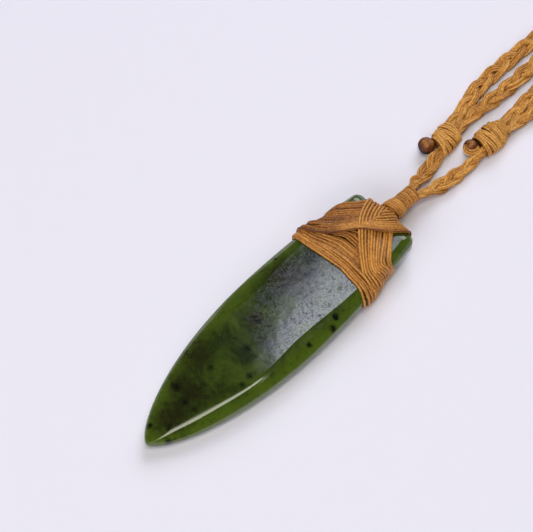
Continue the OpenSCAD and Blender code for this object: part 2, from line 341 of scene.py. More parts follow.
# How deep in a mark a point is, in millimetres: the most of each mark's radius less the
# distance in plan to its middle, on a frayed copy of the coordinates
def markDepth(finish, where, marks, fray):
    shift = finish.node("TexNoise", out=1, Vector=where, Scale=jadeLook["frayScale"],
                        Detail=jadeLook["frayDetail"])
    shift = finish.node("VectorMath", {"operation": "SCALE"}, Vector=shift, Scale=fray)
    plan = finish.node("VectorMath", {"operation": "MULTIPLY_ADD"}, Vector=where, Vector2=(1, 1, 0),
                       Vector3=shift)
    depth = None
    for x, y, radius in marks:
        middle = (x * place["unit"] + fray / 2, (y - place["midY"]) * place["unit"] + fray / 2, fray / 2)
        away = finish.node("VectorMath", {"operation": "DISTANCE"}, Vector=plan, Vector2=middle)
        inside = radius - away / place["unit"]
        depth = inside if depth is None else depth.sum("MAXIMUM", depth, inside)
    return depth


def makeJade():
    look = jadeLook
    masks = look["masks"]
    jade = Finish("polished jade", "jade", Roughness=look["polish"], IOR=look["ior"])
    where = jade.node("TexCoord", out=3)
    noise = jade.noises(where, look["noises"])
    edge = jade.node("Attribute", {"attribute_name": "edge"}, out=2)

    def mark(colour, marks, paint):  # the colour with one list of marks painted on
        depth = markDepth(jade, where, look[marks], look["frays"][marks])
        return jade.blend(depth.mask(*masks[marks]), colour, look[paint])

    colour = jade.ramp(noise["cloud"], [(at, look[paint]) for at, paint in look["stops"]])
    colour = jade.blend(noise["patch"].mask(*masks["patch"]), colour, look["brown"])
    # painted glow: the thin edge is painted a brighter green, as if light shone through it
    colour = jade.blend(edge * (look["rimLeast"] + noise["cloud"] * look["rimCloud"]), colour, look["rim"])
    colour = mark(colour, "clouds", "brown")
    colour = jade.blend(noise["speck"].mask(*masks["speck"]), colour, look["deep"])
    colour = mark(colour, "flecks", "black")
    colour = mark(colour, "spots", "black")
    jade.feed("Base Color", colour)
    worn = jade.node("SeparateXYZ", Vector=where).other(1).mask(*masks["worn"])
    rough = noise["grain"].mask(*masks["grain"]) + noise["speck"].mask(*masks["dust"])
    jade.feed("Roughness", look["polish"] + rough * worn * look["wornRough"])
    jade.bump(*look["bump"], noise["speck"] * worn * look["wornBump"] + noise["wave"] * look["waveBump"])
    return jade


# Waxed thread: golden brown, its plies twisted, darker and lighter from thread to thread

threadLook = dict(
    plies=3, layLength=1.5, ior=1.45, sheen=0.1, sheenRough=0.5, sheenTint=(1.0, 0.75, 0.45, 1),
    tone=0.5, drift=0.5, ply=0.2, flake=1.15, dark=0.6, crestMean=0.66, bump=(0.5, 0.00006), fibre=0.5,
    noises=dict(drift=(420, 3, 0.6, 0), flake=(2100, 2, 0.6, 0), fibre=(5200, 2, 0.6, 0)),
    # after each kind's roughness comes how much painted shade darkens a thread's sides
    waxed=dict(slot="waxed_thread", rough=0.48, dip=0.4, stops=[
        (0.1, (0.11, 0.028, 0.002)), (0.5, (0.37, 0.132, 0.014)), (0.95, (0.72, 0.34, 0.065))]),
    plaited=dict(slot="plaited_cord", rough=0.6, dip=0.3, stops=[
        (0.1, (0.15, 0.042, 0.005)), (0.5, (0.46, 0.185, 0.026)), (0.95, (0.85, 0.46, 0.105))]))


# The map's share round a thread gives its crest, lit by painted light, and its two sides, which lie
# against its neighbours and are darkened by painted shade, as are the plies' grooves: the crest is the sine's
# size.
def makeThread(name, slot, rough, dip, stops):
    look = threadLook
    thread = Finish(name, slot, Roughness=rough, IOR=look["ior"], Sheen_Weight=look["sheen"],
                    Sheen_Roughness=look["sheenRough"], Sheen_Tint=look["sheenTint"])
    parts = thread.node("SeparateXYZ", Vector=thread.node("UVMap", {"uv_map": "thread"}))
    turn = (parts * look["plies"] + parts.other(1) * (look["plies"] / look["layLength"])) * (2 * math.pi)
    ply = turn.sine() * 0.5 + 0.5
    crestLight = thread.node("Math", {"operation": "ABSOLUTE"}, Value=(parts * (2 * math.pi)).sine())
    tone = thread.node("Attribute", {"attribute_name": "tone"}, out=2)
    noise = thread.noises(thread.node("TexCoord", out=3), look["noises"])
    # painted light on each thread's crest, painted shade on its sides and in its ply grooves
    shade = (tone * look["tone"] + noise["drift"] * look["drift"] + ply * look["ply"]
             + noise["flake"] * look["flake"] + crestLight * dip - look["dark"] - dip * look["crestMean"])
    thread.feed("Base Color", thread.ramp(shade.held(), stops))
    thread.bump(*look["bump"], ply + noise["fibre"] * look["fibre"])
    return thread


# The singed ends: dark below and lighter on top as painted light and shade, in lumps

singedLook = dict(
    rough=0.55, ior=1.4, noises=dict(lump=(1100, 4, 0.65, 0)), litRise=420, litFrom=0.75,
    lit=0.75, lump=1.5, dark=0.75, bump=(0.6, 0.0002),
    stops=[(0.1, (0.010, 0.003, 0.001)), (0.5, (0.13, 0.034, 0.006)), (0.95, (0.42, 0.18, 0.035))])


def makeSinged():
    look = singedLook
    singed = Finish("singed end", "singed_end", Roughness=look["rough"], IOR=look["ior"])
    where = singed.node("TexCoord", out=3)
    lump = singed.noises(where, look["noises"])["lump"]
    up = singed.node("SeparateXYZ", Vector=where).other(2)
    # painted light: the higher over the table, the lighter the colour
    lit = (up * look["litRise"] - look["litFrom"]).held()
    shade = lit * look["lit"] + lump * look["lump"] - look["dark"]
    singed.feed("Base Color", singed.ramp(shade.held(), look["stops"]))
    singed.bump(*look["bump"], lump)
    return singed


jade = makeJade()
lashThread = makeThread("waxed thread", **threadLook["waxed"])
cordThread = makeThread("plaited thread", **threadLook["plaited"])
singed = makeSinged()
print("materials made")


# The stone. A step has its start and its run.

stone = dict(
    length=78.5, halfWidth=12.05, halfThick=3, belly=43.2, sidePower=0.675, buttDraw=0.0023,
    notch=0.75, notchY=66.8, notchRun=5.2, corner=1.8,
    bevelLow=1.95, bevelStart=0.3, bevelFade=7.0, bevelBack=0.25, backStep=(60, 10),
    bevelMore=1.3, moreStep=(22, 20), lessStep=(40, 22),
    halfEdge=1.2, crown=0.32, rim=0.9, rimMost=0.3, buttBevel=2.2,
    ridge=0.7, ridgeTip=2.0, ridgeStep=(12, 20), ridgeStart=6, ridgeLeast=0.05,
    tipRun=24, tipThin=0.55, tipRound=1.4, lean=2.05, leanFine=80, tableGap=0.01)


# Half the width: a full curve from the tip to the belly, then a slow taper with a shallow
# notch in it, and a rounded corner at the butt
def halfWidth(y):
    s = stone
    tip = s["halfWidth"] * np.maximum(0, 1 - (1 - y / s["belly"]) ** 2) ** s["sidePower"]
    butt = s["halfWidth"] - s["buttDraw"] * (y - s["belly"]) ** 2
    butt = butt - s["notch"] * ease(1 - np.abs(y - s["notchY"]) / s["notchRun"])
    past = np.clip((y - s["length"] + s["corner"]) / s["corner"], 0, 1)
    return np.where(y < s["belly"], tip, butt - s["corner"] * (1 - np.sqrt(1 - past ** 2)))


def tipShare(y):  # the stone thins to the tip
    return 1 - stone["tipThin"] * np.maximum(0, 1 - y / stone["tipRun"]) ** 2


# Width of a side's bevel: 1 minus a fading exponential from the tip, drawn in at the butt,
# and wider between two eased steps
def bevelWidth(y):
    s = stone
    back = 1 - s["bevelBack"] * step(y, *s["backStep"])
    low = s["bevelLow"] * (1 - np.exp(-(y + s["bevelStart"]) / s["bevelFade"])) * back
    return low + s["bevelMore"] * (step(y, *s["moreStep"]) - step(y, *s["lessStep"]))


def rimRound(w, share):  # the rim's radius, smaller where the stone is narrow
    return np.minimum(stone["rim"] * share, stone["rimMost"] * w)


# Height of a bevel d inside the outline of a stone that is grown by off all round:
# a rounded rim, then a slightly crowned slope from low to high over the width
def bevelHeight(d, off, width, low, high, rim):
    c = stone["crown"]
    slope = (high - low) / width * (1 + c)
    turn = np.arctan(slope)
    r = rim + off
    flat = low + slope * rim * (1 - np.sin(turn)) - rim * np.cos(turn)
    arc = flat + np.sqrt(np.maximum(0, r ** 2 - (r - np.clip(d, 0, r)) ** 2))
    t = (d - off) / width
    slopeHere = (high - low) / width * np.maximum(0, 1 + c - 2 * c * np.clip(t, 0, 1))
    plane = low + (high - low) * t * (1 + c - c * np.minimum(t, 1)) + off * np.sqrt(1 + slopeHere ** 2)
    return np.where(d < r * (1 - np.sin(turn)), arc, plane)


# Height of the stone's upper face over its middle plane, grown by off: the lowest of the
# panel, the side's bevel and the butt's bevel, with rounded ridges
def topHeight(x, y, off=0.0):
    s = stone
    yIn = np.clip(y, 0, s["length"])
    w = halfWidth(yIn)
    share = tipShare(yIn)
    thick = s["halfThick"] * share
    edge = s["halfEdge"] * share
    rim = rimRound(w, share)
    side = bevelHeight(w + off - np.abs(x), off, bevelWidth(yIn), edge, thick, rim)
    butt = bevelHeight(s["length"] + off - y, off, s["buttBevel"], edge, thick, rim)
    ridge = mix(s["ridgeTip"], s["ridge"], step(yIn, *s["ridgeStep"]))
    ridge = ridge * np.minimum(1, yIn / s["ridgeStart"] + s["ridgeLeast"])
    return softMin(softMin(thick + off, side, ridge), butt, s["ridge"])


def stoneLean():  # the stone leans from its belly to its lashing
    y = np.linspace(0, stone["length"], stone["leanFine"])
    turn = math.radians(stone["lean"])
    low = (y * math.sin(turn) - stone["halfThick"] * tipShare(y) * math.cos(turn)).min()
    return turn, stone["tableGap"] - low


def onTable(points):  # from the stone's own frame to the table's
    turn, lift = stoneLean()
    x, y, z = np.moveaxis(np.asarray(points, float), -1, 0)
    along = y * math.cos(turn) - z * math.sin(turn)
    return np.stack([x, along, y * math.sin(turn) + z * math.cos(turn) + lift], -1)


# The stone's skin. Across, its rows run from the rim over the bevel to the ridge and the
# panel, so that the ridges fall on rows. Along, they crowd towards the tip and the butt.
skin = dict(
    rimRows=7, rimTurn=0.45, rimOver=0.6, slope=[(0.1, 0.8, 8), (0.84, 1, 6)],
    panel=[(0.025, 0.2, 8), (0.28, 1, 10)], start=0.03, tipPart=0.45, tipRows=60, tipCrowd=1.8,
    bodyRows=90, bodyEnd=1, buttRidge=0.8, ridgeRows=9, buttSlope=(1.0, 0.6), slopeRows=5,
    tipLeast=0.02, glow=3.0, glowPower=1.6)


def buildBlade():
    s = stone
    g = skin
    arc = 1 - np.sin(np.linspace(np.pi / 2, g["rimTurn"], g["rimRows"]))[:-1]
    split = s["belly"] * g["tipPart"]
    tipRows = g["start"] + split * np.linspace(0, 1, g["tipRows"], endpoint=False) ** g["tipCrowd"]
    bodyRows = np.linspace(split + g["start"], s["length"] - s["buttBevel"] - g["bodyEnd"], g["bodyRows"])
    ridgeRows = s["buttBevel"] + np.linspace(1, -1, g["ridgeRows"]) * g["buttRidge"]
    slopeRows = np.linspace(s["buttBevel"] - g["buttSlope"][0], g["buttSlope"][1], g["slopeRows"])
    buttRows = s["length"] - np.concatenate([ridgeRows, slopeRows, s["rim"] * arc[::-1]])
    y = np.concatenate([tipRows, bodyRows, buttRows])
    w = halfWidth(y)[:, None]
    bevel = bevelWidth(y)[:, None]
    rim = rimRound(w, tipShare(y)[:, None])
    slopePart = np.concatenate([np.linspace(*part) for part in g["slope"]])
    panelPart = np.concatenate([np.linspace(*part) for part in g["panel"]])
    inward = np.concatenate([rim * arc, mix(rim * g["rimOver"], bevel, slopePart),
                             mix(bevel, w, panelPart)], 1)
    right = w - inward
    x = np.concatenate([right, -right[:, -2::-1]], 1)[:, ::-1]
    yGrid = np.broadcast_to(y[:, None], x.shape)
    near = np.clip(1 - yGrid / s["tipRound"], 0, 1)
    z = topHeight(x, yGrid) * np.sqrt(np.maximum(g["tipLeast"], 1 - near ** 2))
    n, m = x.shape
    top = np.stack([x, yGrid, z], -1).reshape(-1, 3)
    under = top * [1, 1, -1]
    upper = gridQuads(n, m)
    lower = upper[:, ::-1] + n * m
    outline = np.concatenate([np.arange(m), np.arange(1, n) * m + m - 1,
                              (n - 1) * m + np.arange(m - 2, -1, -1), np.arange(n - 2, 0, -1) * m])
    ahead = np.roll(outline, -1)
    wall = np.stack([outline + n * m, ahead + n * m, ahead, outline], -1)
    quads = np.concatenate([upper, lower, wall])
    inside = np.minimum(w - np.abs(x), s["length"] - yGrid)
    # share of the painted glow of light through the thin stone: 1 at the outline, fading inwards
    edge = np.exp(-(np.maximum(inside, 0) / g["glow"]) ** g["glowPower"]).reshape(-1)
    meshFrom("jade_blade", onTable(np.concatenate([top, under])), quads.ravel(),
             4 * np.arange(len(quads)), jade, "blade", edge=np.tile(edge, 2))


buildBlade()
print("blade made")


# The lashing. Every thread is laid in turn on what lies under it: the stone first, then
# the threads before it, whose tops are kept in two height maps, over and under the stone.

lash = dict(
    thread=0.29, shown=0.32, mapGap=0.1, mapX=(-15.0, 15.0), mapY=(54.0, 84.0), mapEmpty=-99.0,
    strides=(64, 32, 16, 8, 4, 2, 1), rounds=12, taut=0.85, smooth=9, stack=3.2, clear=0.4,
    pathGap=0.1, loopGap=0.3, loopRelax=2, lineFine=200, bandFine=241, fanFine=60)


class HeightMap:  # the tops of the threads laid so far, on a grid
    def __init__(self):
        size = [int((high - low) / lash["mapGap"]) for low, high in (lash["mapX"], lash["mapY"])]
        self.top = np.full(size, lash["mapEmpty"])

    def cells(self, x, y):
        i = ((x - lash["mapX"][0]) / lash["mapGap"]).astype(int)
        j = ((y - lash["mapY"][0]) / lash["mapGap"]).astype(int)
        return np.clip(i, 0, self.top.shape[0] - 1), np.clip(j, 0, self.top.shape[1] - 1)

    def under(self, x, y):
        return self.top[self.cells(x, y)]

    def add(self, x, y, z, r):  # a ball at each point of the thread
        reach = int(r / lash["mapGap"])
        steps = np.arange(-reach, reach + 1) * lash["mapGap"]
        dx, dy = np.meshgrid(steps, steps)
        rise = r ** 2 - dx ** 2 - dy ** 2
        dx, dy, rise = dx[rise > 0], dy[rise > 0], np.sqrt(rise[rise > 0])
        i, j = self.cells(x[:, None] + dx, y[:, None] + dy)
        np.maximum.at(self.top, (i, j), z[:, None] + rise)


def pullTaut(z):  # lifts a sagging stretch to the straight line over it
    for stride in lash["strides"]:
        for _ in range(lash["rounds"]):
            before = np.concatenate([np.repeat(z[0], stride), z[:-stride]])
            after = np.concatenate([z[stride:], np.repeat(z[-1], stride)])
            inner = np.arange(len(z))
            ok = (inner >= stride) & (inner < len(z) - stride)
            z = np.where(ok, np.maximum(z, (before + after) / 2), z)
    return z


# One face of a thread: its plan points and how far it stands off the stone at each. The
# stack is pressed flat: h above the bare stone becomes h over the root of 1 + (h / room)
# squared, where the room is the stack's own limit, or on the under side the table's.
def layFace(plan, off, ground, r):
    x, y = plan[:, 0], plan[:, 1]
    bare = topHeight(x, y, off)
    z = np.maximum(bare, ground.under(x, y) + r)
    z = mix(z, pullTaut(z), lash["taut"])
    kernel = np.hanning(lash["smooth"])
    kernel /= kernel.sum()
    z = np.maximum(np.convolve(np.pad(z, lash["smooth"] // 2, mode="edge"), kernel, "valid"), bare)
    z[0] = bare[0]
    z[-1] = bare[-1]
    ground.add(x, y, z, r)
    turn, lift = stoneLean()
    table = (y * math.sin(turn) + lift) / math.cos(turn) - lash["clear"]
    room = lash["stack"] if ground is over else table - bare
    return bare + (z - bare) / np.sqrt(1 + ((z - bare) / room) ** 2)


over = HeightMap()
below = HeightMap()


# A whole turn round the stone: the plan goes there over the face and back under it. The
# offs say how many thread radii it stands off the stone, from the plan's start to its end.
def layTurn(plan, offs, r):
    plan = evenly(plan, lash["pathGap"])
    off = np.interp(np.linspace(0, 1, len(plan)), np.linspace(0, 1, len(offs)), offs) * r
    front = np.column_stack([plan, layFace(plan, off, over, r)])
    behind = np.column_stack([plan, -layFace(plan, off, below, r)])[::-1]
    loop = evenly(np.vstack([front, behind]), lash["loopGap"], loop=True)
    return relax(loop, lash["loopRelax"], loop=True)


# The bound neck that leaves the butt's end. The lashing's mound and the plaits need it too.
neck = dict(
    x=-0.4, z=5.0, base=79.9, top=88.4, tilt=7, radius=2.25, thread=0.28, pitch=0.565,
    overlap=0.3, fine=40, ringFine=60, tone=0.5,
    waver=dict(along=(0.05, 0.31), out=(0.04, 0.23), tone=(0.25, 0.37)),
    core=[(79.6, 2.0), (80.9, 2.1), (85.7, 1.9)], coreSides=16, coreTone=0.3,
    squeeze=0.34, lead=0.4, run=10, fall=8)


# Lower band. Columns: place across the stone, lowest thread's place along, highest thread's.
# Its lowest threads are laid last, over the ends of the crossing bands, and some looser ones
# lie above it. The thread at share 0 droops at its right end.
lowerBand = dict(
    count=12, last=5, lastShift=0.03, looseCount=5, looseFrom=0.0001, reach=12,
    outers=(1, 2.4), waver=(0.035, 40), droop=0.45, droopStep=(8, 4),
    tones=(0.26, 0.66), looseTones=(0.4, 0.5), lastTones=(0.36, 0.74),
    rows=[[-12, 59.3, 62.5], [-8.4, 59.2, 63.1], [-5.4, 59.55, 64.7], [-2.4, 59.9, 65.9], [0.1, 60.15, 66.05],
          [2.8, 60.35, 66.05], [5.6, 60.0, 66.0], [8.1, 59.75, 65.8], [9.9, 59.5, 65.6], [12, 58.8, 65.3]],
    loose=[[-12, 63.2, 64.4], [-5.4, 65.6, 67.3], [-3.3, 66.85, 68.6], [-1, 66.95, 69.5],
           [1.9, 66.75, 69.0], [6, 66.6, 68.0], [12, 66.2, 67.4]])


def lowerPlan(rows, share, off):  # the thread's place along is read between the rows
    rows = np.array(rows, float)
    line = np.column_stack([rows[:, 0], mix(rows[:, 1], rows[:, 2], share)])
    line = curve(line, lash["lineFine"])
    x = np.linspace(-1, 1, lash["bandFine"])
    y = np.interp(x * lowerBand["reach"], line[:, 0], line[:, 1])
    return np.column_stack([x * (halfWidth(y) + off), y])


def buildLowerThreads(rows, shares, tones):
    b = lowerBand
    r = lash["thread"]
    made = []
    for k, share in enumerate(shares):
        outer = b["outers"][k % 2]
        plan = lowerPlan(rows, share, outer * r)
        plan[:, 1] += wander(len(plan), *b["waver"])
        if share == 0:
            plan[:, 1] -= b["droop"] * step(plan[:, 0], *b["droopStep"])
        path = layTurn(plan, [outer, 1, 1, 1, outer], r)
        made.append(tube(onTable(path), lash["shown"], (0, 1, 0.02), loop=True, tone=dice.uniform(*tones)))
    return made


# A fan of threads: its lines are given at some shares across it, and a thread between two
# of them is their mix
def fanLine(lines, share):
    shares = list(lines)
    high = min(max(1, int(np.searchsorted(shares, share))), len(shares) - 1)
    a, b = shares[high - 1:high + 1]
    low, up = [curve(lines[s], lash["lineFine"]) for s in (a, b)]
    count = lash["fanFine"]
    low, up = [evenly(line, lengthAlong(line)[-1] / count)[:count] for line in (low, up)]
    return mix(low, up, (share - a) / (b - a))


# The two crossing bands. Each has its threads' shares across the band, the lines at some
# shares, where its ends are along the rim, and where it goes over the butt.
topBand = dict(
    side=1, shown=0.335, tones=(0.5, 0.95), offButt=1, butt=(-5.6, 2.2),
    rims=([0, 0.4, 0.8, 1], [61.6, 65.2, 68.3, 69.5]),
    shares=[0, 0.09, 0.2, 0.29, 0.385, 0.475, 0.58, 0.665, 0.77, 0.85, 0.93, 1],
    lines={0: [[8.1, 61.9], [5.6, 63.8], [3.0, 66.0], [0.5, 68.4], [-1.7, 70.8], [-3.2, 72.9], [-4.6, 75.6]],
           0.16: [[8.3, 63.1], [6.0, 64.8], [3.8, 66.8], [1.7, 68.9], [-0.3, 71.1], [-2.0, 73.3],
                  [-3.2, 75.8]],
           0.385: [[8.6, 64.5], [6.5, 66.1], [4.8, 67.9], [3.1, 69.8], [1.4, 71.8], [-0.2, 73.9],
                   [-1.3, 76.0]],
           0.8: [[8.9, 66.7], [7.3, 69.0], [5.3, 71.9], [3.4, 74.5], [2.2, 76.3]],
           1: [[9.9, 68.8], [8.5, 70.5], [6.0, 73.4], [4.5, 75.5]]})
crossBand = dict(
    side=-1, shown=0.365, tones=(0.35, 0.75), offButt=1.8, butt=(6.9, -5.1),
    rims=([0, 1], [61.0, 69.3]),
    # its first share, below 0, is a thin thread painted dark as a shadow line under the band
    shares=[-0.03, 0, 0.055, 0.12, 0.19, 0.265, 0.335, 0.41, 0.485, 0.555, 0.63, 0.7, 0.765, 0.86, 0.93, 1],
    lines={0: [[-9.2, 62.0], [-6.4, 63.8], [-3.9, 66.1], [-1.9, 68.9], [0.5, 71.4], [3.1, 73.6], [5.4, 76.1]],
           0.12: [[-9.4, 63.1], [-6.7, 64.8], [-4.4, 66.9], [-2.5, 69.4], [-0.5, 71.9], [2.0, 73.9],
                  [4.0, 76.2]],
           0.265: [[-9.4, 64.4], [-7.1, 66.0], [-5.0, 67.8], [-3.3, 70.0], [-1.3, 72.1], [0.7, 74.1],
                   [2.5, 76.2]],
           0.485: [[-9.5, 66.5], [-7.8, 67.9], [-6.1, 69.5], [-4.6, 71.3], [-3.1, 72.8], [-1.5, 74.5],
                   [-0.2, 76.4]],
           1: [[-9.9, 71.3], [-9.0, 72.8], [-7.9, 74.1], [-6.5, 75.4], [-5.7, 76.6]]})

# At the rim a turn stands on the lower band where that is under it. The cross band is
# darker to the left, and its one thread below share 0 is thin and painted dark: a painted shadow under its
# lower edge.
crossing = dict(
    offLow=2.8, offTop=1, offStep=(65, 1.8), mound=1.3, moundWide=10, gap=0.25,
    relax=24, stray=0.008, dark=0.6, darkStep=(2, 4), edgeDark=0.9, edgeShown=0.22)


def crossingPlan(band, share, offButt, r):  # from the rim along its line, over the butt's end
    c = crossing
    rimY = np.interp(share, *band["rims"])
    offSide = mix(c["offLow"], c["offTop"], step(rimY, *c["offStep"])) * r
    rim = [[band["side"] * (halfWidth(rimY) + offSide), rimY]]
    x = mix(*band["butt"], share)
    mound = c["mound"] * math.exp(-(x - neck["x"]) ** 2 / c["moundWide"])
    end = [[x, stone["length"] + offButt + mound]]
    path = evenly(np.vstack([rim, fanLine(band["lines"], share), end]), c["gap"])
    return relax(path, c["relax"]), offSide / r


def layCrossing(band, share):
    c = crossing
    r = lash["thread"]
    offButt = band["offButt"]
    plan, offSide = crossingPlan(band, share + dice.uniform(-c["stray"], c["stray"]), offButt * r, r)
    path = layTurn(plan, [offSide, 1, 1, 1, offButt], r)
    tone = dice.uniform(*band["tones"])
    if band is crossBand:
        tone = tone - c["dark"] * step(-path[:, 0], *c["darkStep"])
    # the thread below share 0 is painted dark: a painted shadow line under the band's lower edge
    if share < 0:
        tone = tone - c["edgeDark"]
    shown = band["shown"] if share >= 0 else c["edgeShown"]
    return tube(onTable(path), shown, (band["side"], 1, 0.02), loop=True, tone=tone)


# The lashing is laid in this order: the lower band's upper threads, the two crossing bands
# in turn from the butt down, so that they weave where they cross, and the lowest threads.
def buildLashing():
    b = lowerBand
    shares = np.arange(b["count"]) / (b["count"] - 1)
    upper = np.append(shares[b["last"] - 1] + b["lastShift"], shares[b["last"]:])
    lower = buildLowerThreads(b["rows"], upper, b["tones"])
    lower += buildLowerThreads(b["loose"], np.linspace(b["looseFrom"], 1, b["looseCount"]), b["looseTones"])
    bands = (topBand, crossBand)
    laid = ([], [])
    for minus, k in sorted((-share, k) for k, band in enumerate(bands) for share in band["shares"]):
        laid[k].append(layCrossing(bands[k], -minus))
    lower += buildLowerThreads(b["rows"], shares[:b["last"]][::-1], b["lastTones"])
    for name, tubes in (("lower", lower), ("top", laid[0]), ("cross", laid[1])):
        threadMesh(name + "_band_threads", tubes, lashThread, "lashing_" + name + "_band")


buildLashing()
print("lashing made")


# The plaits: two of three strands each, side by side round the loop. Columns: across, along.

plait = dict(
    turn=16, width=1.14, height=0.74, square=0.205, strandWide=0.64, strandHigh=0.38,
    pairHalf=2.7, knotHalf=1.1, rest=1.49, threads=7, thread=0.29, tones=(0.25, 0.85),
    core=0.42, coreTone=0.4, step=0.8, fine=3, sides=7, axisRelax=4, threadRelax=3,
    spin=0.22, spinWaver=(0.35, 60), reachWaver=(0.10, 45), thin=0.6)
route = dict(
    right=[[16.8, 186.2], [25.4, 201.4], [34.4, 216.4], [42, 232.2], [46.6, 249.1], [45.6, 266.4],
           [38.2, 282], [24.8, 293.1], [8.75, 299]],
    fromLeftKnot=[[-5, 101.8], [-7.3, 118.5], [-7.3, 135.8], [-6.9, 153.3], [-11.2, 170.4]],
    toRightKnot=[[9.4, 170.1], [6.3, 153.2], [3.5, 135.8], [2.3, 118.5], [1.95, 101.8]],
    leftStart=[-2.25, 86.6], leftEnd=[0.2, 86.6], rightStart=[-0.65, 86.6], rightEnd=[-1.5, 86.6])
knots = dict(
    left=dict(x=-5.15, low=103, high=109.4, lean=-0.8, above=14, below=4, under=0.54, wide=3.4),
    right=dict(x=2.1, low=110.4, high=118.5, lean=0.2, above=17, below=14, under=0.43, wide=3.65),
    high=2.35, squeeze=0.54, partRun=6, fall=6)
balls = dict(left=(-7.55, 101.5, 2.2), right=(0.35, 108.9, 2.0))


def neckPoint(y):  # the neck's axis comes down as it leaves the stone
    return np.array([neck["x"], y, neck["z"] - (y - neck["base"]) * math.tan(math.radians(neck["tilt"]))])


def knotBy(p, key):  # a value of the knot on each point's side
    return np.where(p[:, 0] < 0, knots["left"][key], knots["right"][key])


def outsideKnot(p):  # distance along y past the knot on this side
    return np.maximum(0, np.maximum(knotBy(p, "low") - p[:, 1], p[:, 1] - knotBy(p, "high")))


def plaitSqueeze(p):  # the plait is drawn in at the neck and at a knot
    past = p[:, 1] > (knotBy(p, "low") + knotBy(p, "high")) / 2
    run = np.where(past, knotBy(p, "above"), knotBy(p, "below"))
    tight = np.where(past, knots["squeeze"], knotBy(p, "under"))
    atNeck = mix(neck["squeeze"], 1, step(p[:, 1], neck["top"] - neck["lead"], neck["run"]))
    return np.minimum(atNeck, mix(tight, 1, ease(outsideKnot(p) / run)))


def plaitGap(p):  # half the space between the two plaits' middles
    run = knots["partRun"] + knotBy(p, "above")
    return mix(plait["knotHalf"], plait["pairHalf"], step(p[:, 1], knotBy(p, "high"), run))


def plaitHeight(p):  # it comes down from the neck and rises to a knot
    rest = plait["rest"]
    fromNeck = mix(neckPoint(neck["top"])[2], rest, step(p[:, 1], neck["top"], neck["fall"]))
    return np.maximum(fromNeck, mix(knots["high"], rest, ease(outsideKnot(p) / knots["fall"])))


# A strand swings from side to side once a turn and up and down twice: across it goes as
# cos a made a little square, and up as minus sin 2a. Its threads lie round its own axis
# on an ellipse that turns slowly, and each wanders a little.
def strandTubes(points, turns, phase, tones):
    p = plait
    count = int(turns * p["turn"] / p["step"])
    u = np.linspace(0, turns, count * p["fine"] + 1)
    middle = through(points, u)
    run = unit(np.gradient(middle, axis=0))
    right = np.column_stack([run[:, 1], -run[:, 0]])
    k = plaitSqueeze(middle)
    a = 2 * np.pi * (u + (phase - 1) / 6)
    across = p["width"] * ((1 + p["square"]) * np.cos(a) - p["square"] * np.cos(3 * a)) * k
    rise = -p["height"] * np.sin(2 * a) * k
    middle = np.column_stack([middle + right * (plaitGap(middle) + across)[:, None],
                              plaitHeight(middle) + rise])
    axis = relax(middle, p["axisRelax"])
    along = unit(np.gradient(axis, axis=0))
    side = unit(np.cross(along, [0, 0, 1]))
    up = np.cross(side, along)
    looks = dict(sides=p["sides"], start=np.pi / 2)
    made = [tube(evenly(axis, p["step"]), p["core"], (0, 0, 1), tone=p["coreTone"], **looks)]
    for j in range(p["threads"]):
        spin = 2 * np.pi * (j / p["threads"] + u * p["spin"]) + wander(len(u), *p["spinWaver"])
        reach = 1 + wander(len(u), *p["reachWaver"])
        wide = p["strandWide"] * k ** p["thin"] * reach * np.cos(spin)
        high = p["strandHigh"] * k ** p["thin"] * reach * np.sin(spin)
        path = relax(axis + side * wide[:, None] + up * high[:, None], p["threadRelax"])
        made.append(tube(evenly(path, p["step"]), p["thread"], (0, 0, 1), tone=tones[j], **looks))
    return made


# Fine fibres that stand off the threads: each leaves a thread's skin, goes along it and
# bends away and aside
fuzz = dict(
    r=0.028, points=6, length=(0.7, 2.0), lift=(0.08, 0.45), arch=2.2, aside=0.3,
    sides=3, tones=(0.7, 1.1), plait=150, knot=60)


def hairs(tubes, count):
    made = []
    s = np.linspace(0, 1, fuzz["points"])[:, None]
    for _ in range(count):
        t = tubes[dice.integers(len(tubes))]["points"]
        i = dice.integers(2, len(t) - 3)
        start = t[i, dice.integers(t.shape[1])]
        middle = t[i].mean(0)
        away = unit(start - middle)
        ahead = unit(t[i + 1].mean(0) - middle) * dice.choice([-1, 1])
        side = np.cross(away, ahead)
        path = start + ahead * dice.uniform(*fuzz["length"]) * s
        path = path + away * dice.uniform(*fuzz["lift"]) * np.sin(fuzz["arch"] * s)
        path = path + side * dice.normal(0, fuzz["aside"]) * s ** 2
        path[:, 2] = np.maximum(path[:, 2], 2 * fuzz["r"])
        tone = dice.uniform(*fuzz["tones"])
        made.append(tube(path, fuzz["r"], side, sides=fuzz["sides"], tone=tone))
    return made


# The left plait's last threads curl round the ball that ends it: arcs of circles. Columns:
# the arc's radius as a share of the ball's, its height.
curl = dict(
    arcs=[[0.98, 2.0], [0.90, 2.75], [0.72, 3.3]], start=-165, later=12, end=25, fine=30,
    shift=0.25, rise=0.3, r=0.27, tone=0.9, darker=0.15)


def ballCurl():
    c = curl
    x, y, r = balls["right"]
    made = []
    for k, (reach, z) in enumerate(c["arcs"]):
        a = np.radians(np.linspace(c["start"] + c["later"] * k, c["end"], c["fine"]))
        path = np.column_stack([x + c["shift"] + r * reach * np.cos(a), y + r * reach * np.sin(a),
                                z + c["rise"] * np.sin(a)])
        made.append(tube(path, c["r"], (0, 0, 1), tone=c["tone"] - c["darker"] * k))
    return made


def buildPlait(name, points, turns):
    for s in range(3):
        tones = dice.uniform(*plait["tones"], plait["threads"])
        tubes = strandTubes(points, turns, 2 * s, tones)
        tubes += hairs(tubes, fuzz["plait"])
        if name == "left" and s == 0:
            tubes += ballCurl()
        threadMesh(name + "_strand_threads_" + str(s + 1), tubes, cordThread,
                   name + "_plait_strand_" + str(s + 1))


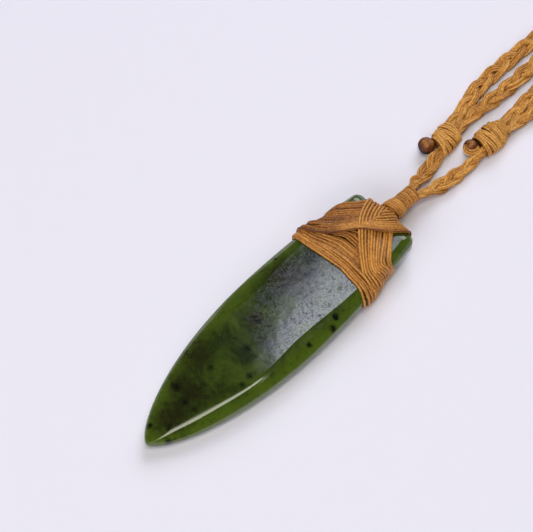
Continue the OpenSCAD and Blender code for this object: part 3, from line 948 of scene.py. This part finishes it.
# Each plait goes once round the loop, the two in opposite directions, and its count of
# turns ends it in its ball.
def buildPlaits():
    r = route
    roundLeft = [[-x, y] for x, y in r["right"]]
    pair = r["fromLeftKnot"] + roundLeft + r["right"][::-1] + r["toRightKnot"]
    leftTurns = len(pair) - 1 + 1 / 3
    rightTurns = len(pair) - 1 / 6
    buildPlait("left", [r["leftStart"]] + pair + [r["leftEnd"]], leftTurns)
    buildPlait("right", [r["rightStart"]] + pair[::-1] + [r["rightEnd"]], rightTurns)


buildPlaits()
print("plaits made")


# The bound neck: tight turns of one thread over a collar of slanting ones, and a loose
# loop beside them
collar = dict(
    radius=2.8, length=2.7, turns=5, widest=1.5, narrower=0.09, start=0.55, step=0.5,
    slant=0.42, slantFrom=0.5, slantStep=0.25, tone=0.6, toneStep=0.1)
looseLoop = dict(
    thread=0.24, fine=50, shifts=[(0.0, 0.0, 0.0), (0.34, 0.068, -0.34)], tones=(1.0, 1.1),
    points=[[-1.7, 88.4, 4.6], [-2.4, 89.7, 4.5], [-3.2, 90.7, 4.1], [-3.5, 91.8, 3.9],
            [-2.9, 92.9, 3.8], [-2.1, 93.0, 3.8], [-1.7, 92.2, 3.3]])


# A point at radius q and angle a round the sloping axis: q sin a across, q cos a square to it
def roundNeck(y, q, a):
    slope = math.radians(neck["tilt"])
    axis = np.stack([neckPoint(v) for v in np.ravel(y)])
    out = q * np.cos(a)
    return axis + np.column_stack([q * np.sin(a), out * math.sin(slope), out * math.cos(slope)])


def buildNeck():
    n = neck
    c = collar
    r = n["thread"]
    start = n["base"] + c["length"] - n["overlap"]
    turns = (n["top"] - start) / n["pitch"]
    a = np.linspace(0, 2 * np.pi * turns, int(turns * n["fine"]))
    waver = {key: size * np.sin(a * rate) for key, (size, rate) in n["waver"].items()}
    y = start + n["pitch"] * a / (2 * np.pi) + waver["along"]
    path = roundNeck(y, n["radius"] - r + waver["out"], a)
    tubes = [tube(path, r, (0, 1, 0), tone=n["tone"] + waver["tone"])]
    ring = angles(n["ringFine"])
    for k in range(c["turns"]):
        reach = c["radius"] - r - c["narrower"] * abs(k - c["widest"])
        slant = c["slant"] * np.sin(ring - c["slantFrom"] + c["slantStep"] * k)
        path = roundNeck(n["base"] + c["start"] + c["step"] * k + slant, reach, ring)
        tubes.append(tube(path, r, (0, 1, 0), loop=True, tone=c["tone"] + c["toneStep"] * k))
    loose = looseLoop
    for shift, tone in zip(loose["shifts"], loose["tones"]):
        path = curve(np.array(loose["points"]) + shift, loose["fine"])
        tubes.append(tube(path, loose["thread"], (0, 0, 1), tone=tone))
    core = np.stack([neckPoint(y) for y, _ in n["core"]])
    reach = [q for _, q in n["core"]]
    tubes.append(tube(core, reach, (1, 0, 0), sides=n["coreSides"], tone=n["coreTone"]))
    threadMesh("neck_threads", tubes, lashThread, "neck_whipping")


buildNeck()


# The sliding knots: wraps of a few threads each round both plaits. Columns of a wrap: its
# place along at the knot's middle, its slant, its reach as a share, its number of threads.
wraps = dict(
    thread=0.29, pitch=0.96, fine=64, tones=(0.4, 0.8), toneStray=0.12, reachStray=0.02,
    waver=0.12, coreAt=(0.08, 0.3, 0.9), coreIn=(0.85, 0.6), coreSides=24, coreTone=0.2,
    left=[[103.5, -0.24, 0.90, 2], [104.6, -0.12, 1.0, 2], [105.7, 0.04, 1.0, 2], [106.8, 0.16, 0.97, 2],
          [108.0, 0.14, 1.0, 2], [108.95, 0.05, 0.9, 1]],
    right=[[110.8, -0.12, 0.88, 2], [112.0, -0.03, 1.0, 2], [113.2, 0.0, 1.0, 2], [114.5, -0.10, 1.04, 2],
           [115.7, -0.20, 0.98, 2], [116.8, -0.12, 0.84, 2], [117.9, 0.02, 0.74, 2]])


# A wrap's thread is an ellipse round both plaits, slanted along: across it is the knot's
# half width times sin a, up its half height times cos a.
def buildKnot(name):
    w = wraps
    k = knots[name]
    high = knots["high"]
    r = w["thread"]
    ring = angles(w["fine"])
    core = np.array([[k["x"] + k["lean"] * s, mix(k["low"], k["high"], s), high] for s in w["coreAt"]])
    barrel = tube(core, 1.0, (1, 0, 0), sides=w["coreSides"], tone=w["coreTone"])
    size = [k["wide"] - w["coreIn"][0], 1, high - w["coreIn"][1]]
    barrel["points"] = core[:, None] + (barrel["points"] - core[:, None]) * size
    tubes = [barrel]
    for at, slant, share, count in w[name]:
        tone = dice.uniform(*w["tones"])
        centre = k["x"] + k["lean"] * (at - k["low"]) / (k["high"] - k["low"])
        for t in range(count):
            reach = share - w["reachStray"] * dice.uniform(0, 1)
            across = (k["wide"] * reach - r) * np.sin(ring)
            along = at + (t - (count - 1) / 2) * 2 * r * w["pitch"] + slant * across
            along = along + w["waver"] * np.sin(2 * ring + 7 * at)
            up = high + (high * mix(1, min(1, reach), 0.5) - r) * np.cos(ring)
            path = np.column_stack([centre + across, along, up])
            stray = dice.uniform(-w["toneStray"], w["toneStray"])
            tubes.append(tube(path, r, (0, 1, 0), loop=True, tone=tone + stray))
    tubes += hairs(tubes[1:], fuzz["knot"])
    threadMesh(name + "_knot_threads", tubes, cordThread, name + "_knot")


buildKnot("left")
buildKnot("right")


# The singed ends: a lumpy ball closes each plait, as high over the table as its radius.
# The radius is a sphere's times one plus a few waves round and along it.
lumps = dict(round=48, rows=24, size=0.95, broad=0.045, fine=0.03)


def buildBall(name):
    u, v = np.meshgrid(angles(lumps["round"]), np.linspace(0, np.pi, lumps["rows"] + 1)[1:-1])
    broad = lumps["broad"] * np.sin(3 * u + 2 * np.cos(2 * v)) * np.sin(v) ** 2
    r = balls[name][2] * lumps["size"] * (1 + broad + lumps["fine"] * np.cos(5 * v + 2 * np.sin(u)))
    ring = np.stack([r * np.sin(v) * np.cos(u), r * np.sin(v) * np.sin(u), r * np.cos(v)], -1)
    poles = [[0, 0, r[0].mean()], [0, 0, -r[-1].mean()]]
    points = np.concatenate([ring.reshape(-1, 3), poles]) + balls[name]
    n, m = u.shape
    j = np.arange(m)
    k = (j + 1) % m
    quads = gridQuads(n, m, loopCols=True)[:, [0, 3, 2, 1]]
    topFan = np.column_stack([np.full(m, n * m), j, k])
    lowFan = np.column_stack([np.full(m, n * m + 1), (n - 1) * m + k, (n - 1) * m + j])
    corners = np.concatenate([quads.ravel(), topFan.ravel(), lowFan.ravel()])
    starts = np.concatenate([4 * np.arange(len(quads)), 4 * len(quads) + 3 * np.arange(2 * m)])
    meshFrom(name + "_singed_end", points, corners, starts, singed, name + "_end_ball")


buildBall("left")
buildBall("right")
print("knots and ends made")


# The table, the light and the camera

windowColour = (0.93, 0.94, 1.14)
lampColour = (1.02, 1.0, 0.86)
studio = dict(
    floor=(0.85, 0.85, 0.965), floorRough=0.9, floorHalf=3.0,
    target=(-13.06, 51.49, 0.0), turn=44.4, height=62.0, distance=400.0, lens=114.8, sensor=36, nearest=0.01,
    sky=[(0.1, (0.12, 0.105, 0.105)), (0.7, (0.022, 0.02, 0.02))], ceiling=0.95,
    lamps=[("key", (-0.5, 0.95, 0.9), (0, -0.02, 0), (1.1, 0.9), 13, (0.97, 0.97, 1.05)),
           ("fill", (0.3, -1.4, 0.8), (0, -0.05, 0), (1.6, 0.7), 15.5, (1.01, 0.955, 0.96))],
    panes=[("window left", (-0.345, -0.326), (0.176, 0.245), 0.1, windowColour),
           ("window a", (-0.324, -0.316), (0.170, 0.245), 1.3, windowColour),
           ("window b", (-0.316, -0.307), (0.160, 0.245), 4.5, windowColour),
           ("window c", (-0.307, -0.299), (0.145, 0.245), 5.7, windowColour),
           ("window d", (-0.299, -0.255), (0.124, 0.245), 6.1, windowColour),
           ("window top", (-0.324, -0.255), (0.245, 0.45), 3.3, windowColour),
           ("lamp over the table", (0.0, 0.30), (-0.43, 0.06), 6.2, lampColour),
           ("lamp's soft edge", (-0.12, 0.0), (-0.40, 0.04), 1.6, lampColour)])


def makeFloor():
    h = studio["floorHalf"]
    mesh = bpy.data.meshes.new("table")
    mesh.from_pydata([(-h, -h, 0), (h, -h, 0), (h, h, 0), (-h, h, 0)], [], [(0, 1, 2, 3)])
    paper = bpy.data.materials.new("pale paper")
    paper.use_nodes = True
    shader = paper.node_tree.nodes["Principled BSDF"]
    shader.inputs["Base Color"].default_value = (*studio["floor"], 1)
    shader.inputs["Roughness"].default_value = studio["floorRough"]
    mesh.materials.append(paper)
    newObject("table", mesh)


def aim(thing, where, at):
    thing.location = where
    thing.rotation_mode = "QUATERNION"
    thing.rotation_quaternion = (Vector(at) - Vector(where)).to_track_quat("-Z", "Y")


def makeLight(name, where, at, size, power, colour):  # an area light that looks at a point
    light = bpy.data.lights.new(name, "AREA")
    light.shape = "RECTANGLE"
    light.size, light.size_y = size
    light.energy = power
    light.color = colour
    aim(newObject(name, light), where, at)


# A bright pane that faces straight down. Its power is pi times its area times its brightness.
def makePane(name, across, along, bright, colour):
    size = (across[1] - across[0], along[1] - along[0])
    where = (sum(across) / 2, sum(along) / 2, studio["ceiling"])
    makeLight(name, where, (where[0], where[1], 0), size, math.pi * size[0] * size[1] * bright, colour)


def makeStudio():
    s = studio
    scene = bpy.context.scene
    makeFloor()
    world = bpy.data.worlds.new("room")
    scene.world = world
    world.use_nodes = True
    tree = world.node_tree
    where = tree.nodes.new("ShaderNodeTexCoord")
    parts = tree.nodes.new("ShaderNodeSeparateXYZ")
    shade = tree.nodes.new("ShaderNodeValToRGB")
    tree.links.new(where.outputs["Generated"], parts.inputs[0])
    tree.links.new(parts.outputs[2], shade.inputs[0])
    for element, (at, colour) in zip(shade.color_ramp.elements, s["sky"]):
        element.position = at
        element.color = (*colour, 1)
    tree.links.new(shade.outputs[0], tree.nodes["Background"].inputs["Color"])
    for settings in s["lamps"]:
        makeLight(*settings)
    for settings in s["panes"]:
        makePane(*settings)
    camera = bpy.data.cameras.new("camera")
    camera.lens = s["lens"]
    camera.sensor_width = s["sensor"]
    camera.clip_start = s["nearest"]
    eye = newObject("camera", camera)
    turn = math.radians(s["turn"])
    height = math.radians(s["height"])
    level = math.cos(height)
    back = np.array([math.sin(turn) * level, -math.cos(turn) * level, math.sin(height)])
    target = (np.array(s["target"]) - [0, place["midY"], 0]) * place["unit"]
    aim(eye, Vector(target + back * s["distance"] * place["unit"]), Vector(target))
    scene.camera = eye
    scene.view_settings.view_transform = "Standard"


makeStudio()
print("studio made")
